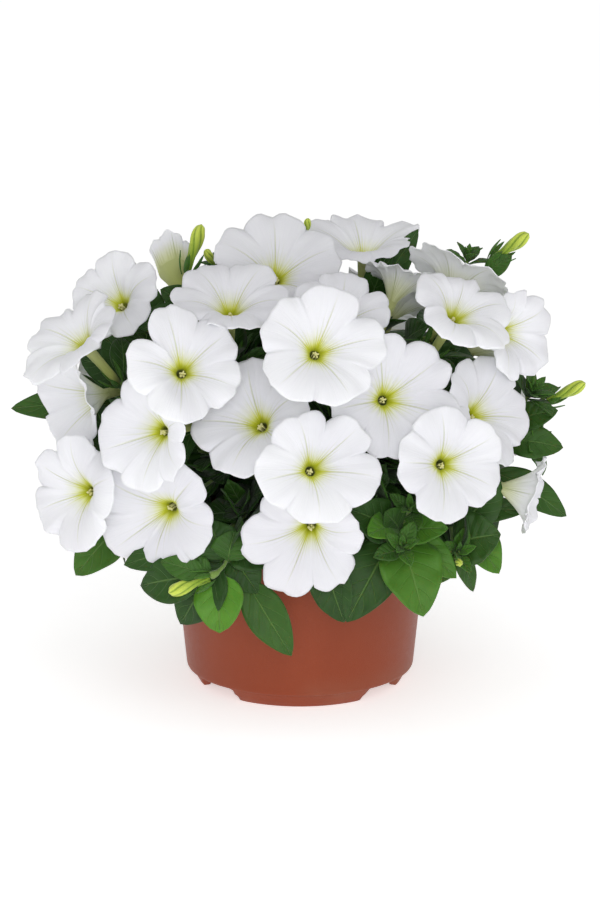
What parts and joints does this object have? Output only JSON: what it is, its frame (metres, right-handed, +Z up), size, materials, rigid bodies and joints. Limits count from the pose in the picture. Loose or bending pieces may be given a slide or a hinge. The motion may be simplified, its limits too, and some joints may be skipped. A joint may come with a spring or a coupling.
{
  "type": "trailing petunia in a pot",
  "caption": "White trailing petunia in full flower, a low dome of funnel-shaped blooms over hairy green leaves, growing in a round terracotta-coloured plastic pot on short feet.",
  "frame": {"origin": "middle of the pot's foot ring, on the surface that the pot stands on", "axes": "+Z up out of the pot, -Y to the front of the plant, +X to the right of the front"},
  "size_m": [0.284, 0.2698, 0.2352],
  "materials": {
    "pot_plastic": "satin",
    "potting_soil": "crumbly, moist",
    "stem": "matt, finely hairy",
    "petal": "soft matt with fine veins",
    "bud": "matt, pleated",
    "leaf": "satin, finely hairy"
  },
  "bodies": {
    "root": {"pot": "pot_plastic", "potting_soil": "potting_soil", "stems": "stem", "flower_01": "petal", "flower_02": "petal", "flower_03": "petal", "flower_04": "petal", "flower_05": "petal", "flower_06": "petal", "flower_07": "petal", "flower_08": "petal", "flower_09": "petal", "flower_10": "petal", "flower_11": "petal", "flower_12": "petal", "flower_13": "petal", "flower_14": "petal", "flower_15": "petal", "flower_16": "petal", "flower_17": "petal", "flower_18": "petal", "flower_19": "petal", "flower_20": "petal", "flower_21": "petal", "flower_22": "petal", "flower_23": "petal", "flower_24": "petal", "flower_25": "petal", "flower_26": "petal", "flower_27": "petal", "flower_28": "petal", "flower_29": "petal", "flower_30": "petal", "flower_31": "petal", "flower_32": "petal", "flower_33": "petal", "flower_34": "petal", "flower_35": "petal", "flower_36": "petal", "bud_1": "bud", "bud_2": "bud", "bud_3": "bud", "bud_4": "bud", "bud_5": "bud", "bud_6": "bud", "bud_7": "bud", "leaf_01": "leaf", "leaf_02": "leaf", "leaf_03": "leaf", "leaf_04": "leaf", "leaf_05": "leaf", "leaf_06": "leaf", "leaf_07": "leaf", "leaf_08": "leaf", "leaf_09": "leaf", "leaf_10": "leaf", "leaf_11": "leaf", "leaf_12": "leaf", "leaf_13": "leaf", "leaf_14": "leaf"}
  },
  "joints": []
}
